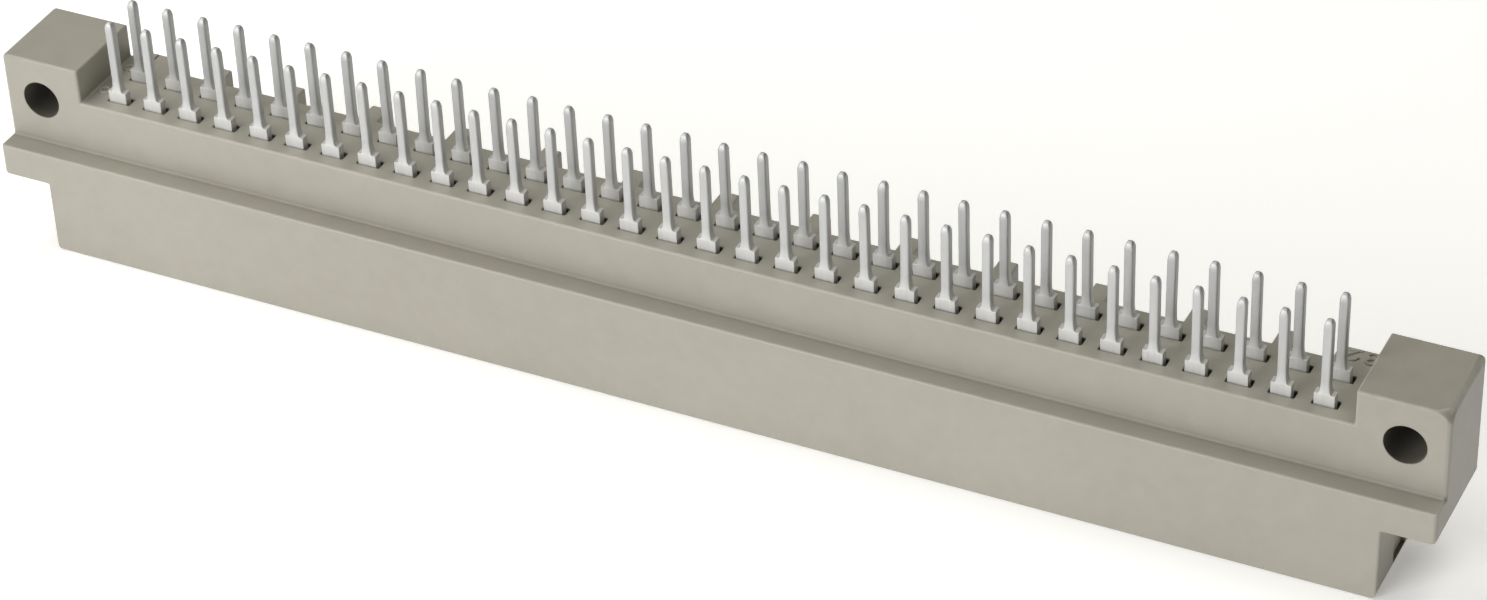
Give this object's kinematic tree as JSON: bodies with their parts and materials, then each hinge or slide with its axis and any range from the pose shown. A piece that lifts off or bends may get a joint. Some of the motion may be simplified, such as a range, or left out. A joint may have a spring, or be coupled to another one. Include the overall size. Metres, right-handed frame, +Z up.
{
  "type": "two-row pin connector",
  "caption": "Long two-row board connector: a moulded housing with an ear and cross hole at each end, a shroud underneath, and straight square pins standing up in two rows.",
  "frame": {"origin": "middle of the length and of the depth, on the plane of the mating rim that it stands on", "axes": "+X along the rows, +Y from the ledge side to the ribbed back, +Z up along the pins"},
  "size_m": [0.094, 0.0084, 0.0166],
  "materials": {
    "housing_plastic": "warm light grey glass-filled polyester with a soft moulded sheen",
    "contact_metal": "bright tin plate on stamped bronze, with fine drawing marks"
  },
  "bodies": {
    "root": {"housing": "housing_plastic", "contact_pair_01": "contact_metal", "contact_pair_02": "contact_metal", "contact_pair_03": "contact_metal", "contact_pair_04": "contact_metal", "contact_pair_05": "contact_metal", "contact_pair_06": "contact_metal", "contact_pair_07": "contact_metal", "contact_pair_08": "contact_metal", "contact_pair_09": "contact_metal", "contact_pair_10": "contact_metal", "contact_pair_11": "contact_metal", "contact_pair_12": "contact_metal", "contact_pair_13": "contact_metal", "contact_pair_14": "contact_metal", "contact_pair_15": "contact_metal", "contact_pair_16": "contact_metal", "contact_pair_17": "contact_metal", "contact_pair_18": "contact_metal", "contact_pair_19": "contact_metal", "contact_pair_20": "contact_metal", "contact_pair_21": "contact_metal", "contact_pair_22": "contact_metal", "contact_pair_23": "contact_metal", "contact_pair_24": "contact_metal", "contact_pair_25": "contact_metal", "contact_pair_26": "contact_metal", "contact_pair_27": "contact_metal", "contact_pair_28": "contact_metal", "contact_pair_29": "contact_metal", "contact_pair_30": "contact_metal", "contact_pair_31": "contact_metal", "contact_pair_32": "contact_metal"}
  },
  "joints": []
}
